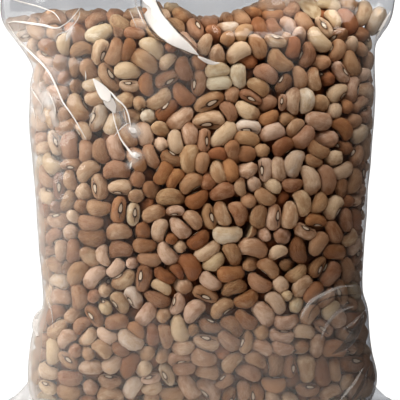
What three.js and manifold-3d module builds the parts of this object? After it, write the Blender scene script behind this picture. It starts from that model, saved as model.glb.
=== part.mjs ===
// A clear pillow bag of dried beans, heat-sealed at both ends and standing on its flattened base.
// Millimetres, +Z up, the broad front faces -Y, and the origin is under the middle of the base.
// The bag is one solid out to its film: the loft of the filled bag and its empty header,
// the two dog ears of the bottom seal, and the beans that press out through the film.

import * as THREE from "three";
import { mergeVertices } from "three/addons/utils/BufferGeometryUtils.js";
import Module from "manifold-3d";

const wasm = await Module();
wasm.setup();

// Film
const FLAT_WIDTH = 148; // the empty bag laid flat, from side fold to side fold
const GIRTH = 2 * FLAT_WIDTH; // film round the bag at any height, as it doesn't stretch
const BAG_HEIGHT = 180; // base to the top edge of the seal
const SEAL_HEIGHT = 8; // the flat band welded at the top
const SEAL_HALF_THICKNESS = 0.6;
const FOOT_HEIGHT = 14; // up to here the film turns under into the flat base
const FOOT_SHARE = 0.8; // the base's depth as a share of the depth above the foot
// Film that the creases of the shoulders take up, as [height, millimetres of girth]
const GATHERED = [[95, 0], [112, 4], [127, 9], [146, 0]];
// Above the beans folds take up the film, so here the half depth is given, as [height, half depth]
const HEADER_DEPTH = [
  [134, 25.5], [138, 23.4], [141, 20.8], [144, 17.4], [147, 13.6], [150, 9.9], [153, 6.8],
  [156, 4.7], [160, 3], [166, 1.7], [BAG_HEIGHT - SEAL_HEIGHT, SEAL_HALF_THICKNESS],
];

// Half widths of the bag, as [height, half width], left and right of its middle
const LEFT_EDGE = [
  [0, 55], [3, 60], [8, 62.4], [14, 63.2], [22, 62.8], [30, 61.5], [36, 59], [41, 57.6],
  [60, 59], [85, 60.8], [108, 62.9], [122, 62.6], [127, 61.8], [135, 65.6], [145, 72.2],
  [156, 73.2], [BAG_HEIGHT - SEAL_HEIGHT, FLAT_WIDTH / 2], [BAG_HEIGHT, FLAT_WIDTH / 2],
];
const RIGHT_EDGE = [
  [0, 56], [3, 61], [8, 64], [14, 65], [22, 63.3], [30, 62.3], [38, 61.6], [45, 59.7],
  [60, 60.2], [85, 61.8], [110, 64.2], [131, 64.3], [137, 64.4], [145, 68.9], [152, 71.4],
  [160, 73.2], [BAG_HEIGHT - SEAL_HEIGHT, FLAT_WIDTH / 2], [BAG_HEIGHT, FLAT_WIDTH / 2],
];
// How square a cross-section is, as [height, power across, power in depth]: 2 and 2 is an ellipse,
// more is squarer, and 2 and 1 is a lens with a sharp fold at each side
const SQUARENESS = [
  [0, 3.6, 3.2], [14, 3, 2.2], [30, 3, 2], [45, 3.4, 2.5], [110, 3.2, 2.3], [130, 2.6, 1.8],
  [145, 2.1, 1.25], [BAG_HEIGHT, 2, 1.1],
];

// Beans
const BEAN_LENGTH = 9.6;
const BEAN_WIDTH = 6.4;
const BEAN_THICKNESS = 5.4;
const BEAN_SPREAD = 0.14; // largest share by which one bean differs from the mean
const BEAN_COUNT = 232;
const BEAN_STRAYS = 3; // farthest that a bean lies from its even spacing
const BEAN_STANDS_PROUD = 0.3; // out of the film's mean surface
const BEANS_FROM = 7; // lowest and highest bean that presses on the film
const BEANS_TO = 151;
// The uneven top of the heap, as [place across, height]
const HEAP_TOP = [
  [-75, 146], [-50, 149], [-27, 149], [-20, 151], [-9, 151], [-3, 147], [8, 147], [16, 150],
  [25, 152.5], [45, 154], [60, 152.5], [75, 147],
];
const FOLD_CLEARANCE = 5; // no bean presses this near to a side fold, along the film
// How far the film sinks between the beans in front and behind, as [height, depth]
const FILM_SINKS = [[2, 0], [10, 1.9], [139, 1.9], [151, 0]];

// Facets
const QUARTER_STEPS = 9; // round each quarter of a cross-section
const RING_HEIGHTS = [
  0, 2.5, 7, 14, 22, 30, 36, 41, 50, 60, 72, 85, 97, 108, 116, 122, 127, 131, 136, 140, 144,
  148, 152, 156, 161, 166, BAG_HEIGHT - SEAL_HEIGHT, BAG_HEIGHT,
];
const FINE_STEPS = 24; // samples of a quarter for measuring its length

const COLOURS = { beans: 0xb89a78 };
const SEED = 20713;

// A seeded stream of numbers from 0 to 1.
function randomStream(seed) {
  let state = seed;
  return () => {
    state = (state + 0x6d2b79f5) | 0;
    let mixed = Math.imul(state ^ (state >>> 15), 1 | state);
    mixed = (mixed + Math.imul(mixed ^ (mixed >>> 7), 61 | mixed)) ^ mixed;
    return ((mixed ^ (mixed >>> 14)) >>> 0) / 4294967296;
  };
}

// The value in one column of a table of places, by a smooth curve through its rows.
function valueAt(table, place, column = 1) {
  const last = table.length - 1;
  const above = table.findIndex((row) => row[0] > place);
  if (above === 0) return table[0][column];
  if (above < 0) return table[last][column];
  const slope = (i) => {
    if (i === 0 || i === last) return 0;
    return (table[i + 1][column] - table[i - 1][column]) / (table[i + 1][0] - table[i - 1][0]);
  };
  const low = table[above - 1];
  const high = table[above];
  const step = high[0] - low[0];
  const t = (place - low[0]) / step;
  return (
    low[column] * (1 + 2 * t) * (1 - t) ** 2 +
    slope(above - 1) * step * t * (1 - t) ** 2 +
    high[column] * t * t * (3 - 2 * t) +
    slope(above) * step * t * t * (t - 1)
  );
}

// A point of one cross-section: angle 0 is the right side fold, and a quarter turn on is the back.
function sectionPoint(shape, angle) {
  const across = Math.cos(angle);
  const deep = Math.sin(angle);
  const halfWidth = across < 0 ? shape.left : shape.right;
  return new THREE.Vector2(
    halfWidth * Math.sign(across) * Math.abs(across) ** (2 / shape.powerAcross),
    shape.halfDepth * Math.sign(deep) * Math.abs(deep) ** (2 / shape.powerInDepth),
  );
}

function girthOf(shape) {
  let length = 0;
  let before = sectionPoint(shape, 0);
  for (let i = 1; i <= 4 * FINE_STEPS; i++) {
    const next = sectionPoint(shape, (i * Math.PI) / (2 * FINE_STEPS));
    length += next.distanceTo(before);
    before = next;
  }
  return length;
}

// The cross-section at a height: its widths are given, and its depth is what the girth leaves,
// or less where folds gather the film.
function sectionAt(height) {
  const foot = Math.max(height, FOOT_HEIGHT);
  const shape = {
    left: valueAt(LEFT_EDGE, foot),
    right: valueAt(RIGHT_EDGE, foot),
    powerAcross: valueAt(SQUARENESS, height, 1),
    powerInDepth: valueAt(SQUARENESS, height, 2),
  };
  let least = SEAL_HALF_THICKNESS;
  let most = FLAT_WIDTH / 2;
  for (let i = 0; i < 30; i++) {
    shape.halfDepth = (least + most) / 2;
    if (girthOf(shape) > GIRTH - valueAt(GATHERED, foot)) most = shape.halfDepth;
    else least = shape.halfDepth;
  }
  shape.halfDepth = Math.min(shape.halfDepth, valueAt(HEADER_DEPTH, height));
  if (height < FOOT_HEIGHT) {
    const down = 1 - height / FOOT_HEIGHT;
    shape.left = valueAt(LEFT_EDGE, height);
    shape.right = valueAt(RIGHT_EDGE, height);
    shape.halfDepth *= FOOT_SHARE + (1 - FOOT_SHARE) * Math.sqrt(1 - down * down);
  }
  return shape;
}

// The points of a ring, evenly spaced along each quarter, so that the side folds keep their vertices.
function ringAt(height) {
  const shape = sectionAt(height);
  shape.halfDepth -= valueAt(FILM_SINKS, height);
  const ring = [];
  for (let quarter = 0; quarter < 4; quarter++) {
    const fine = [];
    for (let i = 0; i <= FINE_STEPS; i++)
      fine.push(sectionPoint(shape, ((quarter + i / FINE_STEPS) * Math.PI) / 2));
    const curve = new THREE.SplineCurve(fine);
    for (let i = 0; i < QUARTER_STEPS; i++) {
      const p = curve.getPointAt(i / QUARTER_STEPS);
      ring.push(new THREE.Vector3(p.x, p.y, height));
    }
  }
  return ring;
}

// A closed solid through rings of equal length, with a flat fan over each end.
function loft(rings) {
  const sides = rings[0].length;
  const points = rings.flat();
  const index = [];
  for (let level = 0; level < rings.length - 1; level++) {
    for (let i = 0; i < sides; i++) {
      const next = (i + 1) % sides;
      const [a, b] = [level * sides + i, level * sides + next];
      const [c, d] = [a + sides, b + sides];
      index.push(a, b, d, a, d, c);
    }
  }
  for (const level of [0, rings.length - 1]) {
    const middle = new THREE.Vector3();
    rings[level].forEach((p) => middle.addScaledVector(p, 1 / sides));
    points.push(middle);
    for (let i = 0; i < sides; i++) {
      const edge = [level * sides + i, level * sides + ((i + 1) % sides)];
      if (level === 0) edge.reverse();
      index.push(...edge, points.length - 1);
    }
  }
  return new THREE.BufferGeometry().setFromPoints(points).setIndex(index);
}

function solidOf(geometry) {
  const bare = geometry.clone();
  for (const name of ["normal", "uv"]) bare.deleteAttribute(name);
  const merged = mergeVertices(bare);
  const whole = [];
  const corners = merged.index.array;
  for (let i = 0; i < corners.length; i += 3) {
    const [a, b, c] = corners.slice(i, i + 3);
    if (a !== b && b !== c && c !== a) whole.push(a, b, c);
  }
  const mesh = new wasm.Mesh({
    numProp: 3,
    vertProperties: merged.attributes.position.array,
    triVerts: new Uint32Array(whole),
  });
  return new wasm.Manifold(mesh);
}

function geometryOf(solid) {
  const mesh = solid.getMesh();
  const geometry = new THREE.BufferGeometry();
  geometry.setAttribute("position", new THREE.BufferAttribute(mesh.vertProperties, 3));
  geometry.setIndex(new THREE.BufferAttribute(mesh.triVerts, 1));
  return geometry;
}

// The bottom seal's end, which sticks out flat on one side of the foot, as a ridge that runs down to a tip.
function dogEar(side) {
  const ridge = [
    // [distance out, height, half depth]
    [46, 18, 13], [61.5, 14, 9.5], [66, 8.6, 6.5], [70.5, 5, 3.6], [FLAT_WIDTH / 2, 1.6, 1],
  ];
  const rings = ridge.map(([out, height, halfDepth]) => {
    const ring = [
      new THREE.Vector3(side * out, -halfDepth, 0),
      new THREE.Vector3(side * out, halfDepth, 0),
      new THREE.Vector3(side * out, 0, height),
    ];
    return side < 0 ? ring.reverse() : ring;
  });
  return loft(rings);
}

// The frame of the bag's surface at a height and a share of the way round one half of the girth.
function surfaceFrame(height, share, front) {
  const at = (z, s) => {
    const shape = sectionAt(z);
    const half = [];
    for (let i = 0; i <= 2 * FINE_STEPS; i++)
      half.push(sectionPoint(shape, ((i / FINE_STEPS) * Math.PI) / 2));
    const p = new THREE.SplineCurve(half).getPointAt(s);
    return new THREE.Vector3(p.x, front ? -p.y : p.y, z);
  };
  const point = at(height, share);
  const round = at(height, share + 0.01).sub(at(height, share - 0.01)).normalize();
  const up = at(height + 1, share).sub(at(height - 1, share)).normalize();
  const out = new THREE.Vector3().crossVectors(round, up).normalize();
  if (out.y * point.y < 0) out.negate();
  return { point, up, out };
}

// One bean just under the film, lying along it at any angle.
function pressedBean(random, { point, up, out }) {
  const size = () => 1 + BEAN_SPREAD * (2 * random() - 1);
  const halfSizes = [BEAN_LENGTH, BEAN_WIDTH, BEAN_THICKNESS].map((full) => (full / 2) * size());
  const along = up.clone().applyAxisAngle(out, Math.PI * random());
  const across = new THREE.Vector3().crossVectors(out, along).normalize();
  const centre = point.clone().addScaledVector(out, BEAN_STANDS_PROUD * size() - halfSizes[2]);
  const place = new THREE.Matrix4().makeBasis(along, across, out).setPosition(centre);
  return new THREE.IcosahedronGeometry(1).scale(...halfSizes).applyMatrix4(place);
}

// The beans, spread over front and back by the golden ratio, up to the heap's top.
function pressedBeans() {
  const random = randomStream(SEED);
  const golden = (Math.sqrt(5) - 1) / 2;
  const margin = (FOLD_CLEARANCE + BEAN_STRAYS) / FLAT_WIDTH;
  const stray = () => BEAN_STRAYS * (2 * random() - 1);
  const beans = [];
  for (let i = 0; i < BEAN_COUNT; i++) {
    const even = BEANS_FROM + ((BEANS_TO - BEANS_FROM) * (i + 0.5)) / BEAN_COUNT;
    const height = Math.max(BEANS_FROM, even + stray());
    const round = 2 * ((i * golden) % 1);
    const share = margin + (1 - 2 * margin) * (round % 1) + stray() / FLAT_WIDTH;
    const frame = surfaceFrame(height, share, round < 1);
    const highest = valueAt(HEAP_TOP, frame.point.x) - BEAN_WIDTH / 2;
    if (height < highest) beans.push(pressedBean(random, frame));
  }
  return beans;
}

// The whole bag, moved so that its box stands centred over the origin.
function sealedBag() {
  let bag = solidOf(loft(RING_HEIGHTS.map(ringAt)));
  for (const side of [-1, 1]) bag = bag.add(solidOf(dogEar(side)));
  bag = wasm.Manifold.union([bag, ...pressedBeans().map(solidOf)]);
  const geometry = geometryOf(bag);
  geometry.computeBoundingBox();
  const middle = geometry.boundingBox.getCenter(new THREE.Vector3());
  return geometry.translate(-middle.x, -middle.y, -geometry.boundingBox.min.z);
}

const group = new THREE.Group();
const beanLook = new THREE.MeshStandardMaterial({
  color: COLOURS.beans,
  roughness: 0.5,
  metalness: 0,
});
const bag = new THREE.Mesh(sealedBag(), beanLook);
bag.name = "sealed_bag";
group.add(bag);

export default group;
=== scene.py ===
"""A clear pillow bag of dried beans, heat-sealed at both ends and standing on its flattened base.

The frame is the solids' own: +Z up, the broad front faces -Y, and the origin is under the middle
of the base. Sizes here are millimetres, and MM turns them into metres as a mesh is made.
"""
import logging
import math
from collections.abc import Callable
from dataclasses import dataclass, field, fields
from enum import Enum
from typing import ClassVar

import bpy
import numpy as np
from bpy.types import Material, Mesh, Node, NodeSocket, NodeTree, NodeTreeInterfaceSocket, Object
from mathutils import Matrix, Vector


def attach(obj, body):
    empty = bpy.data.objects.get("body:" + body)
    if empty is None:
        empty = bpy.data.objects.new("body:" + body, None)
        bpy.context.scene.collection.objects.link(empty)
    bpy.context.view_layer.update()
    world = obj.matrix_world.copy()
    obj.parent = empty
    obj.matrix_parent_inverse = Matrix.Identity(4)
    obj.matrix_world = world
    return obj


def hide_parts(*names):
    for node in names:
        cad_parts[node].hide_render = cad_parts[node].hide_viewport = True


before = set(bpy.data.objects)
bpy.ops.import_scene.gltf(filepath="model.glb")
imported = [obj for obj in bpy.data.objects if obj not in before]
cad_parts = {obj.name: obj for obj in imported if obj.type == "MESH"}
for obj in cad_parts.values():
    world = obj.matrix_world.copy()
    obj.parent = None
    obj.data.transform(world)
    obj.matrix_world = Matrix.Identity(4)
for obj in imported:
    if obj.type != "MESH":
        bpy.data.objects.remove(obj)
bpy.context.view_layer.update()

MM = 0.001
BODY = "root"
NODE = "sealed_bag"
SEED = 20713
TINY = 1e-6  # keeps a division from being by zero
FORWARD = (0.0, -1.0, 0.0)

Array = np.ndarray
Triple = tuple[float, float, float]
Colour = Triple
Range = tuple[float, float]
Table = tuple[tuple[float, ...], ...]
WHITE: Colour = (1.0, 1.0, 1.0)
log = logging.getLogger("bean bag")


class BeanKind(Enum):
    """What a bean looks like. Each kind is one piece."""

    TAN = "tan_beans"
    PALE = "pale_beans"
    RUSSET = "russet_beans"
    WRINKLED = "wrinkled_beans"
    BROKEN = "broken_beans"
    DEEP = "deep_beans"


# Small helpers


def unit(vectors: Array) -> Array:
    """Returns the vectors at length one."""
    return vectors / np.maximum(np.linalg.norm(vectors, axis=-1, keepdims=True), 1e-9)


def smooth(value: Array, low: float, high: float) -> Array:
    """Returns 0 below low, 1 above high and an even curve between them."""
    share = np.clip((value - low) / (high - low), 0, 1)
    return share * share * (3 - 2 * share)


def value_at(table: Table, places: Array, column: int = 1) -> Array:
    """Reads a table along a smooth curve through its rows.

    Args:
        table: rows of a place and one or more values.
        places: the places to read it at.
        column: which value of the row is read.

    Returns:
        The value at each place, with the first and last value held beyond the ends.
    """
    rows = np.array(table, float)
    x, y = rows[:, 0], rows[:, column]
    slope = np.zeros_like(y)
    slope[1:-1] = (y[2:] - y[:-2]) / (x[2:] - x[:-2])
    place = np.clip(places, x[0], x[-1])
    i = np.clip(np.searchsorted(x, place, "right") - 1, 0, len(x) - 2)
    width = x[i + 1] - x[i]
    s = (place - x[i]) / width
    start = (2 * s**3 - 3 * s**2 + 1) * y[i] + (s**3 - 2 * s**2 + s) * width * slope[i]
    end = (3 * s**2 - 2 * s**3) * y[i + 1] + (s**3 - s**2) * width * slope[i + 1]
    return start + end


def mesh_object(name: str, points: Array, faces: list[tuple[int, ...]]) -> Object:
    """Makes a mesh object from points in millimetres.

    Args:
        name: the object's name.
        points: one row of x, y, z for each vertex.
        faces: the vertices of each face, counter-clockwise from outside.

    Returns:
        The object, smooth shaded and linked to the scene.
    """
    mesh = bpy.data.meshes.new(name)
    mesh.from_pydata((points * MM).tolist(), [], faces)
    mesh.polygons.foreach_set("use_smooth", [True] * len(faces))
    mesh.update()
    obj = bpy.data.objects.new(name, mesh)
    bpy.context.scene.collection.objects.link(obj)
    return obj


def store(mesh: Mesh, **runs: Array) -> None:
    """Stores runs of one number or vector for each vertex of a mesh, each under its own name."""
    for name, values in runs.items():
        kind, part = ("FLOAT_VECTOR", "vector") if values.ndim == 2 else ("FLOAT", "value")
        attribute = mesh.attributes.new(name, kind, "POINT")
        attribute.data.foreach_set(part, values.astype(np.float32).ravel())


def place_piece(obj: Object) -> None:
    """Puts a finished piece on the bag's body, in the stead of its solid."""
    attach(obj, BODY)
    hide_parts(NODE)
    log.info("%s: %d faces", obj.name, len(obj.data.polygons))


def loft(rows: int, sides: int, first: int = 0, capped: bool = True) -> list[tuple[int, ...]]:
    """Joins rings of points into a tube.

    Args:
        rows: how many rings there are.
        sides: how many points each has, counter-clockwise as seen from the last ring's end.
        first: the number of the first point.
        capped: whether one face closes each end.

    Returns:
        The faces, which face outward.
    """
    faces = []
    for here_row in range(first, first + (rows - 1) * sides, sides):
        for side in range(sides):
            here, beside = here_row + side, here_row + (side + 1) % sides
            faces.append((here, beside, beside + sides, here + sides))
    if capped:
        last = first + (rows - 1) * sides
        faces += [tuple(range(first, first + sides))[::-1], tuple(range(last, last + sides))]
    return faces


def grow(obj: Object, tree: NodeTree, inputs: dict[str, object]) -> None:
    """Runs Geometry Nodes on an object and leaves what they make as its plain mesh.

    Args:
        obj: the object.
        tree: the node tree.
        inputs: the values of the tree's inputs, by name.
    """
    modifier = obj.modifiers.new("grow", "NODES")
    modifier.node_group = tree
    sockets = {item.name: item.identifier for item in tree.interface.items_tree if item.in_out == "INPUT"}
    for name, value in inputs.items():
        modifier[sockets[name]] = value
    graph = bpy.context.evaluated_depsgraph_get()
    grown = obj.evaluated_get(graph)
    mesh = bpy.data.meshes.new_from_object(grown, preserve_all_data_layers=True, depsgraph=graph)
    obj.modifiers.clear()
    obj.data = mesh


# Nodes


def operator(operation: str, swapped: bool = False) -> Callable[["Wire", object], "Wire"]:
    """Makes the method of Wire that stands behind one operator.

    Args:
        operation: the Math node's operation.
        swapped: whether the Wire is the second value.

    Returns:
        The method.
    """

    def calculate(self: "Wire", other: object) -> "Wire":
        """Returns the result of the node."""
        return self.tree.math(operation, *((other, self) if swapped else (self, other)))

    return calculate


@dataclass(frozen=True)
class Wire:
    """A value on its way through a node tree. A sum that it takes part in becomes a node."""

    tree: "Tree"
    socket: NodeSocket

    __add__ = operator("ADD")
    __sub__ = operator("SUBTRACT")
    __rsub__ = operator("SUBTRACT", swapped=True)
    __mul__ = operator("MULTIPLY")
    __truediv__ = operator("DIVIDE")
    __rtruediv__ = operator("DIVIDE", swapped=True)
    __pow__ = operator("POWER")
    __rpow__ = operator("POWER", swapped=True)

    def __abs__(self) -> "Wire":
        """Returns the value without its sign."""
        return self.tree.math("ABSOLUTE", self)


class Tree:
    """Adds nodes to a node tree and joins them."""

    def __init__(self, tree: NodeTree, made: Material | None = None) -> None:
        """Keeps the tree that the nodes go into, and the material it belongs to."""
        self.tree = tree
        self.made = made
        self.given: dict[str, Wire] = {}

    @classmethod
    def group(cls, name: str, kind: str, inputs: dict[str, tuple[str, object]]) -> "Tree":
        """Starts a node group.

        Args:
            name: the group's name.
            kind: GeometryNodeTree or ShaderNodeTree.
            inputs: the socket type and the default value, or None, by the input's name.

        Returns:
            The tree, with the group's inputs by name in self.given.
        """
        made = cls(bpy.data.node_groups.new(name, kind))
        for socket_name, (socket_kind, default) in inputs.items():
            socket = made.new_socket(socket_name, "INPUT", socket_kind)
            if default is not None:
                socket.default_value = default
        made.given = made.outputs(made.add("NodeGroupInput"))
        return made

    def give(self, kind: str, values: dict[str, Wire]) -> NodeTree:
        """Ends a node group.

        Args:
            kind: the socket type of its outputs.
            values: what each output gives, by the output's name.

        Returns:
            The finished group.
        """
        for name in values:
            self.new_socket(name, "OUTPUT", kind)
        self.add("NodeGroupOutput", values)
        return self.tree

    def new_socket(self, name: str, in_out: str, kind: str) -> NodeTreeInterfaceSocket:
        """Adds an input or an output to the group."""
        return self.tree.interface.new_socket(name=name, in_out=in_out, socket_type=f"NodeSocket{kind}")

    @classmethod
    def material(cls, name: str) -> "Tree":
        """Starts a material without nodes."""
        made = bpy.data.materials.new(name)
        made.use_nodes = True
        made.node_tree.nodes.clear()
        return cls(made.node_tree, made)

    def finish(self, shader: Wire) -> Material:
        """Ends a material with its shader and returns it."""
        self.add("ShaderNodeOutputMaterial", {"Surface": shader})
        return self.made

    def add(self, kind: str, inputs: dict | None = None, **settings: object) -> Node:
        """Adds a node.

        Args:
            kind: the node's type.
            inputs: a Wire or a plain value by the input's name or number.
            settings: the node's own properties.

        Returns:
            The node.
        """
        node = self.tree.nodes.new(kind)
        for name, setting in settings.items():
            setattr(node, name, setting)
        for key, value in (inputs or {}).items():
            socket = node.inputs[key]
            if isinstance(value, Wire):
                self.tree.links.new(value.socket, socket)
            else:
                socket.default_value = (*value, 1.0) if socket.type == "RGBA" else value
        return node

    def outputs(self, node: Node) -> dict[str, Wire]:
        """Returns a node's outputs by their names."""
        return {socket.name: Wire(self, socket) for socket in node.outputs}

    def wire(
        self, kind: str, inputs: dict | None = None, output: int | str = 0, **settings: object
    ) -> Wire:
        """Adds a node and returns one of its outputs."""
        return Wire(self, self.add(kind, inputs, **settings).outputs[output])

    def math(self, operation: str, *values: object) -> Wire:
        """Adds a Math node, or a Vector Math node where a value is a vector.

        Args:
            operation: the node's operation.
            values: the node's inputs.

        Returns:
            The result. A vector times a number is the scaled vector.
        """
        vectors = [
            value.socket.type == "VECTOR" if isinstance(value, Wire) else isinstance(value, tuple)
            for value in values
        ]
        kind = "ShaderNodeVectorMath" if any(vectors) else "ShaderNodeMath"
        if operation == "MULTIPLY" and vectors[0] != vectors[1]:
            vector, factor = values if vectors[0] else values[::-1]
            return self.wire(kind, {"Vector": vector, "Scale": factor}, operation="SCALE")
        return self.wire(kind, dict(enumerate(values)), operation=operation)

    def parts(self, vector: Wire) -> tuple[Wire, ...]:
        """Returns the x, y and z of a vector."""
        return tuple(self.outputs(self.add("ShaderNodeSeparateXYZ", {0: vector})).values())

    def joined(self, x: object, y: object, z: object) -> Wire:
        """Returns the vector of an x, y and z."""
        return self.wire("ShaderNodeCombineXYZ", {0: x, 1: y, 2: z})

    def place(self) -> Wire:
        """Returns the place on the object, in metres."""
        return self.wire("ShaderNodeTexCoord", output="Object")

    def attribute(self, name: str, output: str = "Fac") -> Wire:
        """Returns, in a material, what the mesh has stored under a name."""
        return self.wire("ShaderNodeAttribute", output=output, attribute_name=name)

    def noise(self, place: Wire, scale: float, detail: float = 2.0, **settings: float) -> Wire:
        """Returns a soft noise between 0 and 1 at a place."""
        inputs = {"Vector": place, "Scale": scale, "Detail": detail} | settings
        return self.wire("ShaderNodeTexNoise", inputs, "Fac")

    def step(self, value: Wire, low: float, high: float) -> Wire:
        """Returns 0 where the value is below low, 1 above high and an even curve between."""
        inputs = {"Value": value, "From Min": low, "From Max": high}
        return self.wire("ShaderNodeMapRange", inputs, "Result", interpolation_type="SMOOTHSTEP")

    def blend(self, share: Wire, first: object, second: object, **settings: str) -> Wire:
        """Returns a colour between two colours."""
        return self.wire("ShaderNodeMix", {0: share, 6: first, 7: second}, 2, data_type="RGBA", **settings)

    def tinted(self, colour: Wire, tint: Colour) -> Wire:
        """Returns a colour times another one."""
        return self.blend(1.0, colour, tint, blend_type="MULTIPLY")

    def mixed(self, share: Wire, first: Wire, second: Wire) -> Wire:
        """Returns a mix of two shaders."""
        return self.wire("ShaderNodeMixShader", {0: share, 1: first, 2: second})

    def coat(self, colour: object, roughness: object, **more: object) -> Wire:
        """Returns a shader for a surface that isn't clear."""
        inputs = {"Base Color": colour, "Roughness": roughness} | more
        return self.wire("ShaderNodeBsdfPrincipled", inputs)

    def to_camera(self) -> Wire:
        """Returns 1 where the camera looks straight at the surface and 0 elsewhere."""
        return self.wire("ShaderNodeLightPath", output="Is Camera Ray")

    def spread(self, points: Wire, instance: Wire) -> Wire:
        """Returns real copies of an instance, one on each point."""
        laid = self.wire("GeometryNodeInstanceOnPoints", {"Points": points, "Instance": instance})
        return self.wire("GeometryNodeRealizeInstances", {0: laid})

    def dress(self, geometry: Wire) -> NodeTree:
        """Ends a group of Geometry Nodes, with its material set, and returns it."""
        inputs = {"Geometry": geometry, "Material": self.given["Material"]}
        return self.give("Geometry", {"Geometry": self.wire("GeometryNodeSetMaterial", inputs)})


# The bag's form


@dataclass
class BagForm:
    """The taut film's form: sections of one girth, narrow and deep at the beans, gathered flat above them."""

    flat_width: float = 148.0
    height: float = 180.0
    seal_height: float = 8.0
    seal_half_thickness: float = 0.6
    foot_height: float = 14.0
    foot_share: float = 0.8
    section_spacing: float = 0.5
    quarter_steps: int = 64
    halvings: int = 30
    least_half_depth: float = 0.4
    gathered: Table = ((95, 0), (112, 4), (127, 9), (146, 0))
    header_depth: Table = (
        (134, 25.5), (138, 23.4), (141, 20.8), (144, 17.4), (147, 13.6), (150, 9.9), (153, 6.8),
        (156, 4.7), (160, 3), (166, 1.7), (172, 0.6),
    )
    left_edge: Table = (
        (0, 55), (3, 60), (8, 62.4), (14, 63.2), (22, 62.8), (30, 61.5), (36, 59), (41, 57.6), (60, 59),
        (85, 60.8), (108, 62.9), (122, 62.6), (127, 61.8), (135, 65.6), (145, 72.2), (156, 73.2),
        (172, 74), (180, 74),
    )
    right_edge: Table = (
        (0, 56), (3, 61), (8, 64), (14, 65), (22, 63.3), (30, 62.3), (38, 61.6), (45, 59.7), (60, 60.2),
        (85, 61.8), (110, 64.2), (131, 64.3), (137, 64.4), (145, 68.9), (152, 71.4), (160, 73.2),
        (172, 74), (180, 74),
    )
    squareness: Table = (
        (0, 3.6, 3.2), (14, 3, 2.2), (30, 3, 2), (45, 3.4, 2.5), (110, 3.2, 2.3), (130, 2.6, 1.8),
        (145, 2.1, 1.25), (180, 2, 1.1),
    )

    def __post_init__(self) -> None:
        """Works out each section's half widths, half depth and squareness from the film's girth."""
        self.heights = np.arange(0, self.height + self.section_spacing / 2, self.section_spacing)
        above_foot = np.maximum(self.heights, self.foot_height)
        across = value_at(self.squareness, self.heights)
        deep = value_at(self.squareness, self.heights, 2)
        girth = 2 * self.flat_width - value_at(self.gathered, above_foot)
        halves = (value_at(self.left_edge, above_foot), value_at(self.right_edge, above_foot))
        least = np.full_like(girth, self.seal_half_thickness)
        most = np.full_like(girth, self.flat_width / 2)
        for _ in range(self.halvings):
            middle = (least + most) / 2
            too_deep = self.girth_of(halves, middle, across, deep) > girth
            most = np.where(too_deep, middle, most)
            least = np.where(too_deep, least, middle)
        down = np.clip(1 - self.heights / self.foot_height, 0, 1)
        foot = self.foot_share + (1 - self.foot_share) * np.sqrt(1 - down**2)
        self.sections = {
            "left": value_at(self.left_edge, self.heights),
            "right": value_at(self.right_edge, self.heights),
            "half_depth": np.minimum((least + most) / 2 * foot, value_at(self.header_depth, self.heights)),
            "across": across,
            "deep": deep,
        }
        self.slopes = {name: np.gradient(run, self.heights) for name, run in self.sections.items()}

    @property
    def quarter(self) -> Array:
        """Returns the angles of a quarter turn."""
        return np.linspace(0, math.pi / 2, self.quarter_steps + 1)

    def girth_of(
        self, halves: tuple[Array, ...], half_depth: Array, across: Array, deep: Array
    ) -> Array:
        """Returns the way round each section, from its half widths, half depth and squareness."""
        y = half_depth[:, None] * np.sin(self.quarter) ** (2 / deep[:, None])
        total = np.zeros_like(half_depth)
        for half_width in halves:
            x = half_width[:, None] * np.cos(self.quarter) ** (2 / across[:, None])
            total += 2 * np.hypot(np.diff(x, axis=1), np.diff(y, axis=1)).sum(1)
        return total

    def read(self, name: str, heights: Array, slope: bool = False) -> Array:
        """Returns a section's size, or how fast it changes with height, at each height."""
        table = self.slopes if slope else self.sections
        return np.interp(heights, self.heights, table[name])

    def half_width(self, x: Array, heights: Array, slope: bool = False) -> Array:
        """Returns the half width, or how fast it changes, on the side that each x is on."""
        return np.where(x > 0, self.read("right", heights, slope), self.read("left", heights, slope))

    def gap_to_film(
        self, points: Array, radius: Array | float = 0.0
    ) -> tuple[Array, Array]:
        """Measures how far inside the film balls lie.

        Args:
            points: the balls' centres.
            radius: the balls' radius.

        Returns:
            The gap to the film, below 0 outside it, and the film's outward normal there.
        """
        x, y, z = points[:, 0], points[:, 1], np.clip(points[:, 2], 0, self.height)
        half_width = self.half_width(x, z) - radius
        widening = self.half_width(x, z, slope=True)
        half_depth = np.maximum(self.read("half_depth", z) - radius, self.least_half_depth)
        deepening = self.read("half_depth", z, slope=True)
        across, deep = self.read("across", z), self.read("deep", z)
        u = np.abs(x) / half_width + TINY
        v = np.abs(y) / half_depth + TINY
        share_x, share_y = across * u**across, deep * v**deep
        sideways = np.sign(x) * share_x / u / half_width
        outward = np.sign(y) * share_y / v / half_depth
        upward = -share_x * widening / half_width - share_y * deepening / half_depth
        slope = np.stack([sideways, outward, upward], 1)
        steepness = np.linalg.norm(slope, axis=1)
        return (1 - u**across - v**deep) / steepness, slope / steepness[:, None]

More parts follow.
